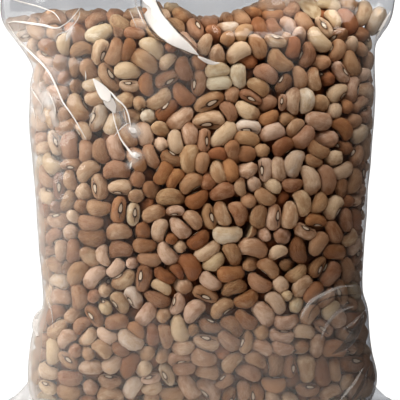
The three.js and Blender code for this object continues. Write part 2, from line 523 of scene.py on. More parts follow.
    def rings(self, heights: Array, columns: int, inset: float = 0.0) -> Array:
        """Lays evenly spaced points round the bag at each height.

        Args:
            heights: the height of each ring.
            columns: how many points a ring has, a multiple of four.
            inset: how far inside the film the ring runs.

        Returns:
            An array of rings by columns by x, y, z, counter-clockwise from +X as seen from above.
        """
        across, deep = self.read("across", heights)[:, None], self.read("deep", heights)[:, None]
        curve_x = np.cos(self.quarter) ** (2 / across)
        curve_y = np.sin(self.quarter) ** (2 / deep) * (self.read("half_depth", heights)[:, None] - inset)
        shares = np.arange(columns // 4 + 1) / (columns // 4)
        result = np.zeros((len(heights), columns, 3))
        result[:, :, 2] = heights[:, None]
        for row, height in enumerate(heights):
            runs = []
            for side, sign in (("right", 1), ("left", -1)):
                x, y = curve_x[row] * (self.read(side, height) - inset), curve_y[row]
                along = np.concatenate([[0], np.cumsum(np.hypot(np.diff(x), np.diff(y)))])
                spots = shares * along[-1]
                runs.append(np.stack([sign * np.interp(spots, along, x), np.interp(spots, along, y)], 1))
            right, left = runs
            front_left, front_right = left[:-1] * (1, -1), right[:0:-1] * (1, -1)
            result[row, :, :2] = np.concatenate([right[:-1], left[:0:-1], front_left, front_right])
        return result


# The beans


@dataclass
class Beans:
    """Beans as arrays: where each lies, how it is turned and how large it is."""

    centre: Array
    long_axis: Array
    eye_axis: Array
    size: Array
    kind: Array
    tone: Array
    seed: Array

    def only(self, chosen: Array) -> "Beans":
        """Returns the chosen beans."""
        return Beans(*(getattr(self, name)[chosen] for name in self.__dataclass_fields__))


@dataclass
class BeanPacking:
    """Lays whole beans into the bag, pressed against each other and against the film."""

    form: BagForm
    length: float = 9.4
    width: float = 6.25
    thickness: float = 5.3
    size_spread: float = 0.11
    slimness_spread: float = 0.08
    count: int = 2950
    steps: int = 250
    deepest: float = 17.0
    film_pull: float = 0.13
    film_reach: float = 3.4
    one_end_share: float = 0.28
    eye_share: float = 0.24
    side_slack: Range = (0.8, 0.3)  # on the left and on the right
    slack_from: Range = (12, 30)  # the heights where it begins and ends
    slack_to: Range = (146, 134)
    size_limits: Range = (0.7, 1.22)
    slimness_limits: Range = (0.82, 1.16)
    first_gap: float = 3.0
    first_size: float = 0.6
    growth: float = 0.9
    near: float = 1.2  # in bean lengths
    crowd_easing: float = 0.55
    hardest_push: float = 1.5
    above_floor: float = 0.2
    eye_seen: Range = (18, 62)  # degrees from the film's normal
    eye_hidden: Range = (82, 125)
    film_gap: float = 0.15
    outer_depth: float = 0.85  # in bean thicknesses
    outer_gap: float = 0.6
    shown_depth: float = 1.45
    floor_room: float = 1.15
    tone: Range = (0.42, 0.26)  # the middle and the spread
    heap_top: Table = (
        (-75, 146), (-50, 149), (-27, 149), (-20, 151), (-9, 151), (-3, 147), (8, 147), (16, 150),
        (25, 152.5), (45, 154), (60, 152.5), (75, 147),
    )
    shares: dict[BeanKind, float] = field(
        default_factory=lambda: {
            BeanKind.TAN: 0.66,
            BeanKind.PALE: 0.12,
            BeanKind.RUSSET: 0.1,
            BeanKind.WRINKLED: 0.113,
            BeanKind.BROKEN: 0.007,
        }
    )

    def __post_init__(self) -> None:
        """Draws each bean's size and its first place and direction."""
        self.random = np.random.default_rng(SEED)
        self.scale = np.clip(self.random.normal(1, self.size_spread, self.count), *self.size_limits)
        self.slim = np.clip(self.random.normal(1, self.slimness_spread, self.count), *self.slimness_limits)
        self.radius = (self.width + self.thickness) / 4 * self.scale * self.slim
        self.reach = self.length / 2 * self.scale / np.sqrt(self.slim) - self.radius
        self.axis = unit(self.random.normal(size=(self.count, 3)))
        self.pull = np.full((self.count, 2), self.film_pull)
        self.pull[self.random.random(self.count) < self.one_end_share, 1] = 0
        self.centre = self.first_places()

    def first_places(self) -> Array:
        """Returns a random place inside the film for each bean."""
        half_width, half_depth = self.form.flat_width / 2, self.form.sections["half_depth"].max()
        lowest = (-half_width, -half_depth, self.first_gap)
        highest = (half_width, half_depth, self.form.height)
        places = np.empty((0, 3))
        while len(places) < self.count:
            tries = self.random.uniform(lowest, highest, (3 * self.count, 3))
            gap, _ = self.form.gap_to_film(tries, self.first_gap)
            fits = (gap > 0) & (tries[:, 2] < value_at(self.heap_top, tries[:, 0]) - self.first_gap)
            places = np.concatenate([places, tries[fits]])
        return places[: self.count]

    def near_pairs(self) -> tuple[Array, Array]:
        """Returns the pairs of beans that may touch."""
        places = self.centre.astype(np.float32)
        square = (places**2).sum(1)
        apart = square[:, None] + square - 2 * places @ places.T
        return np.nonzero(np.triu(apart < (self.near * self.length) ** 2, 1))

    def ends(self, reach: Array) -> Array:
        """Returns both end balls' centres of each bean."""
        arm = self.axis * reach[:, None]
        return np.stack([self.centre + arm, self.centre - arm], 1)

    def push_apart(
        self, pairs: tuple[Array, Array], radius: Array, reach: Array
    ) -> Array:
        """Works out how overlapping beans push each other.

        Args:
            pairs: the beans that may touch.
            radius: each bean's present radius.
            reach: each bean's present distance from its middle to its end balls.

        Returns:
            How far each end ball moves.
        """
        i, j = pairs
        between = self.centre[i] - self.centre[j]
        turn = (self.axis[i] * self.axis[j]).sum(1)
        first, second = (self.axis[i] * between).sum(1), (self.axis[j] * between).sum(1)
        s = np.clip((turn * second - first) / np.maximum(1 - turn**2, 0.05), -reach[i], reach[i])
        t = np.clip(turn * s + second, -reach[j], reach[j])
        s = np.clip(turn * t - first, -reach[i], reach[i])
        apart = between + self.axis[i] * s[:, None] - self.axis[j] * t[:, None]
        distance = np.linalg.norm(apart, axis=1)
        overlap = radius[i] + radius[j] - distance
        hit = overlap > 0
        push = apart[hit] * (0.5 * overlap[hit] / np.maximum(distance[hit], 1e-3))[:, None]
        move = np.zeros((self.count, 2, 3))
        hits = np.zeros((self.count, 2))
        for bean, arm, sign in ((i[hit], s[hit], 1), (j[hit], t[hit], -1)):
            near_share = (1 + arm / np.maximum(reach[bean], 1e-3)) / 2
            whole = near_share**2 + (1 - near_share) ** 2
            for end, share in enumerate((near_share, 1 - near_share)):
                hits[:, end] += np.bincount(bean, share, self.count)
                for axis in range(3):
                    amount = sign * push[:, axis] * share / whole
                    move[:, end, axis] += np.bincount(bean, amount, self.count)
        return move / np.maximum(1, self.crowd_easing * hits)[..., None]

    def hold_in(self, ends: Array, radius: Array) -> Array:
        """Keeps the end balls inside the film and the heap, and draws the outer ones to the film."""
        balls, ball_radius = ends.reshape(-1, 3), np.repeat(radius, 2)
        gap, normal = self.form.gap_to_film(balls, ball_radius)
        pull = np.where((gap > 0) & (gap < self.film_reach), self.pull.ravel() * gap, 0)
        balls = balls + normal * np.where(gap < 0, np.maximum(gap, -self.hardest_push), pull)[:, None]
        ceiling = value_at(self.heap_top, balls[:, 0]) - ball_radius
        balls[:, 2] = np.clip(balls[:, 2], ball_radius + self.above_floor, ceiling)
        slack = smooth(balls[:, 2], *self.slack_from) * smooth(balls[:, 2], *self.slack_to)
        left = slack * self.side_slack[0] + ball_radius - self.form.read("left", balls[:, 2])
        right = self.form.read("right", balls[:, 2]) - ball_radius - slack * self.side_slack[1]
        balls[:, 0] = np.clip(balls[:, 0], left, right)
        return balls.reshape(-1, 2, 3)

    def settle(self) -> None:
        """Grows the beans to their full size while they push each other into place."""
        for step in range(self.steps):
            grown = min(1.0, self.first_size + self.growth * step / self.steps)
            if step % 10 == 0:
                pairs = self.near_pairs()
            radius, reach = self.radius * grown, self.reach * grown
            ends = self.ends(reach) + self.push_apart(pairs, radius, reach)
            ends = self.hold_in(ends, radius)
            self.centre = ends.mean(1)
            self.axis = unit(ends[:, 0] - ends[:, 1])

    def turn_eyes(self, normal: Array) -> Array:
        """Turns each bean about its length: most lie on a broad side, some show the eye."""
        outward = unit(normal - self.axis * (normal * self.axis).sum(1)[:, None])
        sideways = np.cross(self.axis, outward)
        shows_eye = self.random.random(self.count) < self.eye_share
        seen = self.random.uniform(*self.eye_seen, self.count)
        hidden = self.random.uniform(*self.eye_hidden, self.count)
        angle = np.radians(np.where(shows_eye, seen, hidden))
        angle *= self.random.choice([-1, 1], self.count)
        return outward * np.cos(angle)[:, None] + sideways * np.sin(angle)[:, None]

    def lay(self) -> Beans:
        """Settles the beans and finishes them.

        Returns:
            The beans that lie near the film. The rest are hidden behind them.
        """
        self.settle()
        gap, normal = self.form.gap_to_film(self.centre)
        eye = self.turn_eyes(normal)
        half_length = self.radius + self.reach
        half = np.stack([half_length, self.width / 2 * self.scale, self.thickness / 2 * self.scale], 1)
        axes = np.stack([self.axis, eye, np.cross(self.axis, eye)], 1)
        support = np.sqrt(((axes @ normal[:, :, None])[..., 0] ** 2 * half**2).sum(1))
        slack = gap - support - self.film_gap
        outer = gap < self.thickness * self.outer_depth + self.outer_gap
        self.centre = self.centre + normal * np.where(outer, np.clip(slack, -1, 1), 0)[:, None]
        lowest = np.sqrt((axes[:, :, 2] ** 2 * half**2).sum(1)) * self.floor_room
        self.centre[:, 2] = np.maximum(self.centre[:, 2], lowest)
        kinds = np.array(list(self.shares), object)
        kind = self.random.choice(kinds, self.count, p=list(self.shares.values()))
        from_top = value_at(self.heap_top, self.centre[:, 0]) - self.centre[:, 2]
        shown = (gap < self.thickness * self.shown_depth) | (from_top < self.width)
        kind[~shown] = BeanKind.DEEP
        tone = np.clip(self.random.normal(*self.tone, self.count), 0, 1)
        beans = Beans(self.centre, self.axis, eye, half, kind, tone, self.random.random(self.count))
        log.info("beans against the film: %d, shown: %d", outer.sum(), shown.sum())
        return beans.only((gap < self.deepest) | (from_top < 2 * self.length))


@dataclass
class BeanShape:
    """The rule that turns a ball into a bean, with its eye side at +Y of its own frame."""

    sides: int = 9
    rings: int = 7
    squareness: float = 2.35
    bend: float = 0.26
    dent: float = 0.16
    taper: float = 0.2
    unevenness: float = 0.36
    cut: float = -2.0
    squarer: ClassVar[Range] = (-0.35, 0.5)  # what a bean's own squareness adds
    bent: ClassVar[Range] = (0.2, 1.4)
    tapered: ClassVar[Range] = (-1.0, 1.0)
    seed_spread: ClassVar[Triple] = (17.0, 31.0, 43.0)
    bump_scale: ClassVar[float] = 1.2
    bend_middle: ClassVar[float] = 0.33
    dent_narrowness: ClassVar[float] = 6.0
    dent_side: ClassVar[Range] = (0.0, 0.9)

    def tree(self) -> NodeTree:
        """Builds the Geometry Nodes that put a bean on each point.

        Returns:
            The node tree. Its inputs are the sizes of this class and the beans' material.
        """
        sizes = {
            size.name.capitalize(): (size.type.__name__.capitalize(), size.default) for size in fields(self)
        }
        inputs = {"Geometry": ("Geometry", None), **sizes, "Material": ("Material", None)}
        t = Tree.group("beans on points", "GeometryNodeTree", inputs)
        given = t.given
        ball = t.wire("GeometryNodeMeshUVSphere", {"Segments": given["Sides"], "Rings": given["Rings"]})
        x, y, z = t.parts(t.wire("GeometryNodeInputPosition"))
        marked = t.wire(
            "GeometryNodeStoreNamedAttribute",
            {"Geometry": ball, "Name": "bean_place", "Value": t.joined(z, x, y)},
            data_type="FLOAT_VECTOR",
            domain="POINT",
        )
        real = t.spread(given["Geometry"], marked)
        place, seed = self.stored(t, "bean_place"), self.stored(t, "bean_seed", "FLOAT")
        long_axis, eye_axis = self.stored(t, "long_axis"), self.stored(t, "eye_axis")
        x, y, z = self.squared(t, place, given["Squareness"] + self.draw(t, seed, 53.0, self.squarer))
        bumps = t.noise(place + seed * self.seed_spread, self.bump_scale) - 0.5
        lean = given["Taper"] * self.draw(t, seed, 61.0, self.tapered)
        swell = bumps * given["Unevenness"] + 1.0 + x * lean
        curve = given["Bend"] * self.draw(t, seed, 91.0, self.bent) * (x * x - self.bend_middle)
        hollow = math.e ** (x * x * -self.dent_narrowness) * given["Dent"] * t.step(y, *self.dent_side)
        y = y * swell + curve - hollow
        z = t.math("MAXIMUM", z * swell, given["Cut"])
        x, y, z = t.parts(t.joined(x, y, z) * self.stored(t, "bean_size"))
        spot = self.stored(t, "bean_centre") + long_axis * x + eye_axis * y
        spot = spot + t.math("CROSS_PRODUCT", long_axis, eye_axis) * z
        shaped = t.wire("GeometryNodeSetPosition", {"Geometry": real, "Position": spot})
        for name in ("bean_centre", "bean_size", "long_axis", "eye_axis"):
            shaped = t.wire("GeometryNodeRemoveAttribute", {"Geometry": shaped, "Name": name})
        shaped = t.wire("GeometryNodeSetShadeSmooth", {0: shaped})
        broken = t.math("LESS_THAN", t.parts(self.stored(t, "bean_place"))[2], given["Cut"])
        flat = {0: shaped, "Selection": broken, "Shade Smooth": False}
        return t.dress(t.wire("GeometryNodeSetShadeSmooth", flat))

    @staticmethod
    def stored(t: Tree, name: str, kind: str = "FLOAT_VECTOR") -> Wire:
        """Returns the value that is stored under a name."""
        return t.wire("GeometryNodeInputNamedAttribute", {"Name": name}, "Attribute", data_type=kind)

    @staticmethod
    def draw(t: Tree, seed: Wire, stride: float, limits: Range) -> Wire:
        """Returns a number between the limits that is each bean's own."""
        return t.math("FRACT", seed * stride) * (limits[1] - limits[0]) + limits[0]

    @staticmethod
    def squared(t: Tree, place: Wire, power: Wire) -> tuple[Wire, ...]:
        """Moves a place on the unit ball out to a rounder or squarer body and returns its x, y and z."""
        x, y, z = (abs(part) ** power for part in t.parts(place))
        return t.parts(place * (x + y + z) ** (-1.0 / power))


@dataclass(frozen=True)
class BeanMarks:
    """Where a bean's marks begin and end, in the measure of the ball that it is made from."""

    eye_shift: float = 0.12
    eye_half_length: float = 0.34
    eye_half_width: float = 0.23
    eye_narrowing: float = -0.3
    eye_side: Range = (0.05, 0.35)
    eye_edge: Range = (0.72, 0.9)
    rim_edge: Range = (1.45, 1.0)
    halo_edge: Range = (2.9, 1.1)
    groove_start: Range = (-0.68, -0.5)
    groove_end: Range = (0.0, -0.15)
    groove_edge: Range = (0.09, 0.04)
    groove_depth: float = 0.7
    patch_edge: Range = (0.75, 1.25)
    patch_wander: float = 0.9
    patch_depth: float = 0.7
    grain_edge: Range = (0.5, 0.72)
    fine_height: float = 0.35
    seed_spread: Triple = (29.0, 47.0, 13.0)
    stretch: Triple = (1.0, 2.6, 2.6)

    def group(self) -> NodeTree:
        """Builds the group that gives each bean its eye, patches, mottling and fine wrinkles.

        Returns:
            The shader node group. Its outputs are masks from 0 to 1 and a height.
        """
        inputs = {"Place": ("Vector", None), "Seed": ("Float", 0.0), "Patch Share": ("Float", 0.3)}
        t = Tree.group("bean marks", "ShaderNodeTree", inputs)
        place, seed = t.given["Place"], t.given["Seed"]
        x, y, z = t.parts(place)
        along = (x - self.eye_shift) / self.eye_half_length
        across = z / ((along * self.eye_narrowing + 1.0) * self.eye_half_width)
        far = t.math("SQRT", along * along + across * across)
        side = t.step(y, *self.eye_side)
        outside = t.step(far, *self.eye_edge)
        groove = t.step(x, *self.groove_start) * t.step(x, *self.groove_end)
        groove = groove * t.step(abs(z), *self.groove_edge) * self.groove_depth
        rim = t.math("MAXIMUM", outside * t.step(far, *self.rim_edge), groove)
        seeded = place + seed * self.seed_spread
        is_patched = t.math("LESS_THAN", t.math("FRACT", seed * 37.0), t.given["Patch Share"])
        patch = t.step(t.noise(seeded, 1.6) * self.patch_wander + x, *self.patch_edge) * is_patched
        stretched = seeded * self.stretch
        masks = {
            "Eye": side * (1.0 - outside),
            "Rim": side * rim,
            "Halo": side * t.step(far, *self.halo_edge),
            "Patch": patch * self.patch_depth,
            "Mottle": t.noise(seeded, 1.3, 4.0, Roughness=0.62),
            "Grain": t.step(t.noise(stretched, 2.6, 4.0, Roughness=0.7), *self.grain_edge),
            "Hue": t.math("FRACT", seed * 71.0),
            "Height": t.noise(seeded, 11.0) * self.fine_height + t.noise(stretched, 2.2, 3.0),
        }
        return t.give("Float", masks)


@dataclass(frozen=True)
class BeanFinish:
    """The matt skin of one kind of bean."""

    light: Colour
    middle: Colour
    dark: Colour
    patch: Colour = (0.27, 0.13, 0.06)
    patch_share: float = 0.4
    pink: Colour = (1.0, 0.91, 0.94)
    yellow: Colour = (1.03, 1.0, 0.88)
    grain: Colour = (0.74, 0.62, 0.5)
    grain_share: float = 0.55
    wrinkle: float = 0.2  # how deep, in millimetres
    inside: Colour = (0.53, 0.43, 0.29)
    hollow: Colour = (0.36, 0.25, 0.14)
    halo: Colour = (0.2, 0.095, 0.042)
    halo_share: float = 0.6
    rim: Colour = (0.035, 0.013, 0.006)
    eye: Colour = (0.62, 0.53, 0.42)
    mottling: float = 1.25
    cut: float = -2.0
    cut_blur: float = 0.12
    roughness: float = 0.58
    roughness_spread: float = 0.16
    sheen: float = 0.15

    def material(self, name: str, marks: NodeTree) -> Material:
        """Makes the material.

        Args:
            name: the material's name.
            marks: the group that gives the masks of the eye, the patches and the skin.

        Returns:
            The material.
        """
        t = Tree.material(name)
        place = t.attribute("bean_place", "Vector")
        inputs = {"Place": place, "Seed": t.attribute("bean_seed"), "Patch Share": self.patch_share}
        seen = t.outputs(t.add("ShaderNodeGroup", inputs, node_tree=marks))
        tone = t.attribute("bean_tone") + (seen["Mottle"] - 0.5) * self.mottling
        skin = t.blend(t.step(tone, 0.0, 0.5), self.light, self.middle)
        skin = t.blend(t.step(tone, 0.5, 1.05), skin, self.dark)
        skin = t.blend(seen["Hue"], t.tinted(skin, self.yellow), t.tinted(skin, self.pink))
        skin = t.blend(seen["Grain"] * self.grain_share, skin, t.tinted(skin, self.grain))
        skin = t.blend(seen["Patch"], skin, self.patch)
        skin = t.blend(seen["Halo"] * self.halo_share, skin, self.halo)
        skin = t.blend(seen["Rim"], skin, self.rim)
        skin = t.blend(seen["Eye"], skin, self.eye)
        if self.cut > -1:
            face = t.blend(t.step(seen["Mottle"], 0.35, 0.65), self.inside, self.hollow)
            skin = t.blend(t.step(t.parts(place)[2], self.cut, self.cut - self.cut_blur), skin, face)
        wrinkles = {"Strength": 1.0, "Distance": self.wrinkle * MM, "Height": seen["Height"]}
        roughness = seen["Mottle"] * self.roughness_spread + (self.roughness - self.roughness_spread / 2)
        more = {"Specular IOR Level": self.sheen, "Normal": t.wire("ShaderNodeBump", wrinkles)}
        return t.finish(t.coat(skin, roughness, **more))


@dataclass
class BeanHeap:
    """The beans that show, one piece for each kind, and the core behind them, painted dark as the shade deep
    between the beans.
    """

    form: BagForm
    finishes: dict[BeanKind, BeanFinish] = field(
        default_factory=lambda: {
            BeanKind.TAN: BeanFinish((0.66, 0.53, 0.40), (0.435, 0.283, 0.178), (0.27, 0.13, 0.062)),
            BeanKind.PALE: BeanFinish(
                (0.72, 0.675, 0.59), (0.58, 0.47, 0.34), (0.45, 0.31, 0.195), patch_share=0.15
            ),
            BeanKind.RUSSET: BeanFinish((0.44, 0.25, 0.13), (0.32, 0.155, 0.076), (0.19, 0.08, 0.04)),
            BeanKind.WRINKLED: BeanFinish(
                (0.52, 0.38, 0.25), (0.38, 0.24, 0.145), (0.24, 0.125, 0.062),
                patch_share=0.8, wrinkle=0.62, grain_share=0.9,
            ),
            BeanKind.BROKEN: BeanFinish(
                (0.56, 0.41, 0.28), (0.42, 0.275, 0.17), (0.29, 0.16, 0.085), cut=-0.05
            ),
            # The deep beans are darker and redder than the shown ones: painted shade for the gaps they are
            # seen through.
            BeanKind.DEEP: BeanFinish((0.48, 0.245, 0.12), (0.37, 0.165, 0.072), (0.25, 0.095, 0.036)),
        }
    )
    shapes: dict[BeanKind, dict[str, float]] = field(
        default_factory=lambda: {
            BeanKind.WRINKLED: {"Unevenness": 0.55, "Squareness": 2.1},
            BeanKind.BROKEN: {"Cut": -0.1, "Unevenness": 0.5},
            BeanKind.DEEP: {"Sides": 7, "Rings": 5},
        }
    )
    core_inset: float = 11.0
    core_bump: float = 1.6
    core_waves: Table = ((24, 0.5), (7, 0.8))  # how often round, and how far they turn in a millimetre
    core_top: float = 131.0
    core_columns: int = 120
    core_row: float = 2.0
    # The core's two colours are painted shade: darker and redder than any bean, for the deep gaps.
    core_dark: Colour = (0.12, 0.042, 0.015)
    core_light: Colour = (0.26, 0.11, 0.045)
    core_roughness: float = 0.8

    def build(self) -> Beans:
        """Packs the beans and makes each kind's piece, then the core.

        Returns:
            The beans that lie against the film.
        """
        beans = BeanPacking(self.form).lay()
        tree, marks = BeanShape().tree(), BeanMarks().group()
        for kind, finish in self.finishes.items():
            chosen = beans.only(beans.kind == kind)
            obj = mesh_object(kind.value, chosen.centre, [])
            store(
                obj.data,
                bean_centre=chosen.centre * MM,
                bean_size=chosen.size * MM,
                long_axis=chosen.long_axis,
                eye_axis=chosen.eye_axis,
                bean_tone=chosen.tone,
                bean_seed=chosen.seed,
            )
            material = finish.material(kind.value.replace("_", " "), marks)
            grow(obj, tree, {"Material": material} | self.shapes.get(kind, {}))
            place_piece(obj)
        self.core()
        return beans.only(beans.kind != BeanKind.DEEP)

    def core(self) -> None:
        """Makes the bumpy core that stands for the beans too deep to tell apart, painted dark and red-brown
        as their shade.
        """
        heights = np.arange(self.core_inset, self.core_top, self.core_row)
        rings = self.form.rings(heights, self.core_columns, self.core_inset)
        around = np.arange(self.core_columns) / self.core_columns * 2 * math.pi
        bumps = np.prod([np.sin(around * n + heights[:, None] * turn) for n, turn in self.core_waves], axis=0)
        inward = rings.copy()
        inward[:, :, 2] = 0
        rings -= unit(inward) * (1 + bumps)[..., None] * self.core_bump
        obj = mesh_object("bean_core", *closed_tube(rings, cap_strips=4))
        t = Tree.material("bean core")
        colour = t.blend(t.step(t.noise(t.place(), 240.0), 0.35, 0.65), self.core_dark, self.core_light)
        obj.data.materials.append(t.finish(t.coat(colour, self.core_roughness)))
        place_piece(obj)


def closed_tube(rings: Array, cap_strips: int) -> tuple[Array, list[tuple[int, ...]]]:
    """Joins rings into a closed body whose ends are laid across from front to back.

    Args:
        rings: rings by columns by x, y, z, lowest first, each counter-clockwise from +X.
        cap_strips: how many faces an end has from the front edge to the back edge.

    Returns:
        The points and the faces.
    """
    count, columns, _ = rings.shape
    half = columns // 2
    points = list(rings.reshape(-1, 3))
    faces = loft(count, columns, capped=False)
    for row, is_top in ((0, False), (count - 1, True)):
        rim = row * columns + np.arange(columns)
        lines = np.zeros((half + 1, cap_strips + 1), int)
        lines[:, 0] = rim[: half + 1]
        lines[:, -1] = np.concatenate([rim[:1], rim[:half - 1:-1]])
        lines[0, :], lines[half, :] = rim[0], rim[half]
        for column in range(1, half):
            back, front = rings[row, column], rings[row, columns - column]
            for strip in range(1, cap_strips):
                share = strip / cap_strips
                lines[column, strip] = len(points)
                points.append(back * (1 - share) + front * share)
        for column in range(half):
            for strip in range(cap_strips):
                near, far = lines[column, strip : strip + 2], lines[column + 1, strip : strip + 2]
                corners = tuple(dict.fromkeys(map(int, (near[0], *far, near[1]))))
                faces.append(corners if is_top else corners[::-1])
    return np.array(points), faces


# The film


@dataclass(frozen=True)
class Crease:
    """A sharp fold in the front film: rows of x and z, its width and height, and how white it looks, a white
    that is partly painted highlight.
    """

    path: Table
    width: float
    height: float = 0.5
    veil: float = 0.3


@dataclass(frozen=True)
class Haze:
    """A milky or grey patch of the film, which grows from 0 to 1 over each pair of x and of z. Some grey
    patches are painted shade and some milky ones painted sheen.
    """

    x: Table = ()
    z: Table = ()
    veil: float = 0.0
    shade: float = 0.0

    def share(self, points: Array) -> Array:
        """Returns how far the patch covers each point, from 0 to 1."""
        shares = [smooth(points[..., 0], *pair) for pair in self.x]
        return np.prod(shares + [smooth(points[..., 2], *pair) for pair in self.z], axis=0)


@dataclass
class FilmSkin:
    """The clear film, drawn tight over the beans, standing off at the sides and gathered at the top."""

    form: BagForm
    columns: int = 288
    row_height: float = 0.8
    clearance: float = 0.2
    bean_margin: float = 1.1
    sink: float = 0.008
    top_sinks: Range = (-2, 8)  # how far below the heap's top the film begins to sink in
    foot_sinks: Range = (2, 8)  # and how far above the floor
    rounds: int = 240
    side_from: float = 0.92
    side_to: float = 0.985
    side_rows: int = 15
    bean_rows: int = 11
    edge_veils: Range = (0.24, 0.36)  # on the right and on the left
    edge_veil_widths: Range = (3.4, 5.0)
    # Across the left the film is partly milky and partly painted light: a broad sheen that lightens the side
    # nearest the key light.
    left_veil: float = 0.12
    left_veil_from: Range = (-5, -60)
    # The greying towards the right is partly film standing off at the edge and partly painted shade, as that
    # side is turned from the key light.
    right_shades: Table = ((0, 0.95), (46, 0.95), (60, 0.6), (180, 0.6))  # by height
    right_shade_width: float = 8.0
    header_veil: float = 0.1
    header_shade: float = 0.66
    header_from: Range = (-4, 1)  # above the heap's top
    cap_veil: float = 0.3
    furthest: float = 3.0
    free_below: float = -2.5
    free_lift: float = -1.2
    gather_from: Range = (140, 154)
    gather_to: float = 163.0
    gather_lift: float = 0.7
    back_gather: float = -0.8
    gather_waves: Table = ((1.0, 0.31, 0.11, 0.0), (0.6, 0.53, -0.17, 1.3))  # height, along, up, start
    hazes: tuple[Haze, ...] = (
        # lower right: partly doubled film, partly painted shade on the dim lower right
        Haze(x=((24, 46),), z=((50, 38),), veil=0.1, shade=0.2),
        # left shoulder: partly milky film, partly painted sheen where the light glances off the film
        Haze(x=((-42, -56),), z=((96, 118), (140, 124)), veil=0.16),
        Haze(x=((-50, -62),), z=((48, 36),), veil=0.22),
        # upper right: painted sheen, a lighter band over the beans
        Haze(x=((23.5, 25), (44, 30)), z=((114, 126),), veil=0.07),
        Haze(z=((46, 26),), veil=0.15),
        Haze(x=((-60, -67),), z=((139, 144),), shade=0.64),
        Haze(x=((-28, -16), (6, -4)), z=((108, 118), (140, 132)), veil=0.11),
        # right of the middle: painted shade, greying the beans where less light falls
        Haze(x=((8, 32),), z=((68, 88), (128, 110)), shade=0.2),
    )
    creases: tuple[Crease, ...] = (
        Crease(((-71, 143.5), (-57, 127.5), (-50, 113.5), (-41.4, 100.3)), width=1.8, height=0.7, veil=0.06),
        Crease(((-31.8, 115), (-28.5, 109), (-26.3, 104)), width=2.4, height=0.5, veil=0.26),
        Crease(((-46.3, 144), (-48, 138)), width=2.2, height=0.4, veil=0.3),
        Crease(((-24.5, 151), (-22.5, 146), (-20.5, 141)), width=2.2, height=0.6, veil=0.22),
        Crease(((-19.5, 162), (-16.5, 146), (-10.4, 137.6), (-0.5, 131)), width=4.2, height=0.8, veil=0.08),
        Crease(((-61.6, 119.5), (-61.2, 116.5)), width=1.6, height=0.3, veil=0.42),
        Crease(((-58, 116), (-56.8, 113.5)), width=1.9, height=0.4, veil=0.5),
        Crease(((-53.3, 115), (-52.8, 108)), width=1.6, height=0.4, veil=0.36),
        Crease(((-60.9, 112.5), (-60.3, 108.5)), width=1.5, height=0.3, veil=0.3),
        Crease(((-60.5, 120), (-58.8, 117.5)), width=1.7, height=0.3, veil=0.45),
        Crease(((-56.4, 117.2), (-54.8, 113)), width=1.8, height=0.3, veil=0.5),
        Crease(((-58.6, 112.5), (-57.4, 108)), width=2.0, height=0.3, veil=0.45),
        Crease(((-53.6, 110), (-52.6, 106)), width=1.7, height=0.3, veil=0.42),
        Crease(((-24.6, 104.4), (-23.4, 102.8)), width=1.9, height=0.3, veil=0.7),
        Crease(((-24.6, 95), (-22.4, 94.2)), width=1.7, height=0.3, veil=0.62),
        Crease(((-25.5, 91), (-22.5, 93.5)), width=1.5, height=0.3, veil=0.45),
        Crease(((37.6, 36.4), (39.4, 40), (42.6, 43), (51, 45.8)), width=1.3, height=0.7, veil=0.24),
        Crease(((43, 30), (47, 36.5), (53, 40.5)), width=1.3, height=0.5, veil=0.16),
        Crease(((51, 18), (57.4, 4.4)), width=1.6, height=0.8, veil=0.12),
        Crease(((69, 146), (65.5, 139.5)), width=1.6, veil=0.4),
    )

    def build(self, beans: Beans) -> Object:
        """Makes the film over the beans.

        Args:
            beans: the beans that press against the film.

        Returns:
            The film's piece.
        """
        heights = np.linspace(0, self.form.height, round(self.form.height / self.row_height) + 1)
        taut = self.form.rings(heights, self.columns)
        normal = self.normals(taut)
        lift = self.relax(taut, self.reach_of(beans, taut, normal))
        lift = self.straighten(taut, lift)
        veil = self.veil(taut)
        # each crease's white is partly creased film and partly a painted highlight
        for crease in self.creases:
            near = self.nearness(crease, taut)
            lift += near * crease.height
            veil = np.maximum(veil, near * crease.veil)
        lift += self.gathers(taut)
        rings = taut + normal * lift[..., None]
        rings[:, :, 2] = np.clip(rings[:, :, 2], 0, self.form.height)
        rings[0, :, 2] = 0
        points, faces = closed_tube(rings, cap_strips=6)
        obj = mesh_object("film_skin", points, faces)
        inner = (0, len(points) - veil.size)
        veil = np.pad(veil.ravel(), inner, constant_values=self.cap_veil)
        store(obj.data, veil=veil, shade=self.shade(points))
        self.surface = rings
        return obj

    def depth_at(self, x: Array, z: Array) -> Array:
        """Returns the film's y on the front at each x and z."""
        depths = []
        for place_x, place_z in zip(x, z):
            ring = self.surface[int(round(place_z / self.row_height)), self.columns // 2 :]
            order = np.argsort(ring[:, 0])
            depths.append(np.interp(place_x, ring[order, 0], ring[order, 1]))
        return np.array(depths)

    @staticmethod
    def normals(rings: Array) -> Array:
        """Returns the outward normal at each point of the rings."""
        around = np.roll(rings, -1, 1) - np.roll(rings, 1, 1)
        up = np.gradient(rings, axis=0)
        return unit(np.cross(around, up))

    def reach_of(self, beans: Beans, taut: Array, normal: Array) -> Array:
        """Measures how far the beans reach past the taut film, below 0 where they stay inside.

        Args:
            beans: the beans near the film.
            taut: the points of the taut film.
            normal: the film's outward normals.

        Returns:
            The highest bean's reach along the normal at each point.
        """
        reach = np.full(taut.shape[:2], -self.furthest)
        axes = np.stack([beans.long_axis, beans.eye_axis, np.cross(beans.long_axis, beans.eye_axis)], 1)
        for centre, axis, size in zip(beans.centre, axes, beans.size):
            middle = int(round(centre[2] / self.row_height))
            rows = slice(max(0, middle - self.bean_rows), min(len(taut), middle + self.bean_rows + 1))
            to_ball = (axis / (size * self.bean_margin)[:, None]).T
            start = (taut[rows] - centre) @ to_ball
            way = normal[rows] @ to_ball
            a, b = (way**2).sum(-1), (start * way).sum(-1)
            inside = b * b - a * ((start**2).sum(-1) - 1)
            height = (np.sqrt(np.maximum(inside, 0)) - b) / a
            use = (inside > 0) & (height < self.furthest)
            reach[rows] = np.where(use, np.maximum(reach[rows], height), reach[rows])
        return reach

